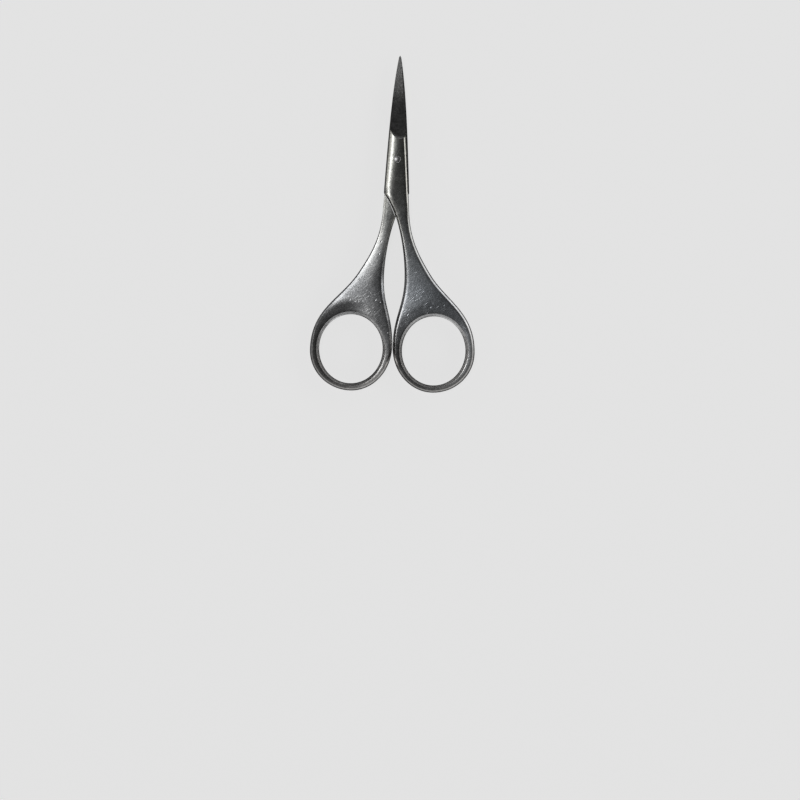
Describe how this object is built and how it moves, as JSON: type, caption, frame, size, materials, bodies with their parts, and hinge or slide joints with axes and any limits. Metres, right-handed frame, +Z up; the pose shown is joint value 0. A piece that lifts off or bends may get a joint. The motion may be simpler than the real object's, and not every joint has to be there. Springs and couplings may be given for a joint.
{
  "type": "lash and brow scissors",
  "caption": "Small pointed steel grooming scissors: mirrored forged halves with oval finger bows and slim shanks, crossing at a flush pivot rivet, for trimming lashes and brows.",
  "frame": {"origin": "centre of the bounding box at the underside, where the scissors lie on a table", "axes": "+Y along the scissors from the bows to the tips, +Z up through the front face, +X to the bow of the finger half"},
  "size_m": [0.0442, 0.09, 0.0027],
  "materials": {
    "satin_steel": "satin polished, fine grain",
    "rivet_steel": "peened and polished"
  },
  "bodies": {
    "thumb_side": {"thumb_half": "satin_steel", "pivot_rivet": "rivet_steel"},
    "finger_side": {"finger_half": "satin_steel"}
  },
  "joints": [
    {"name": "pivot", "type": "hinge", "parent": "thumb_side", "child": "finger_side", "pos_m": [0, 0.01714, 0.0013], "axis": [0, 0, 1], "range_deg": [0, 90]}
  ]
}
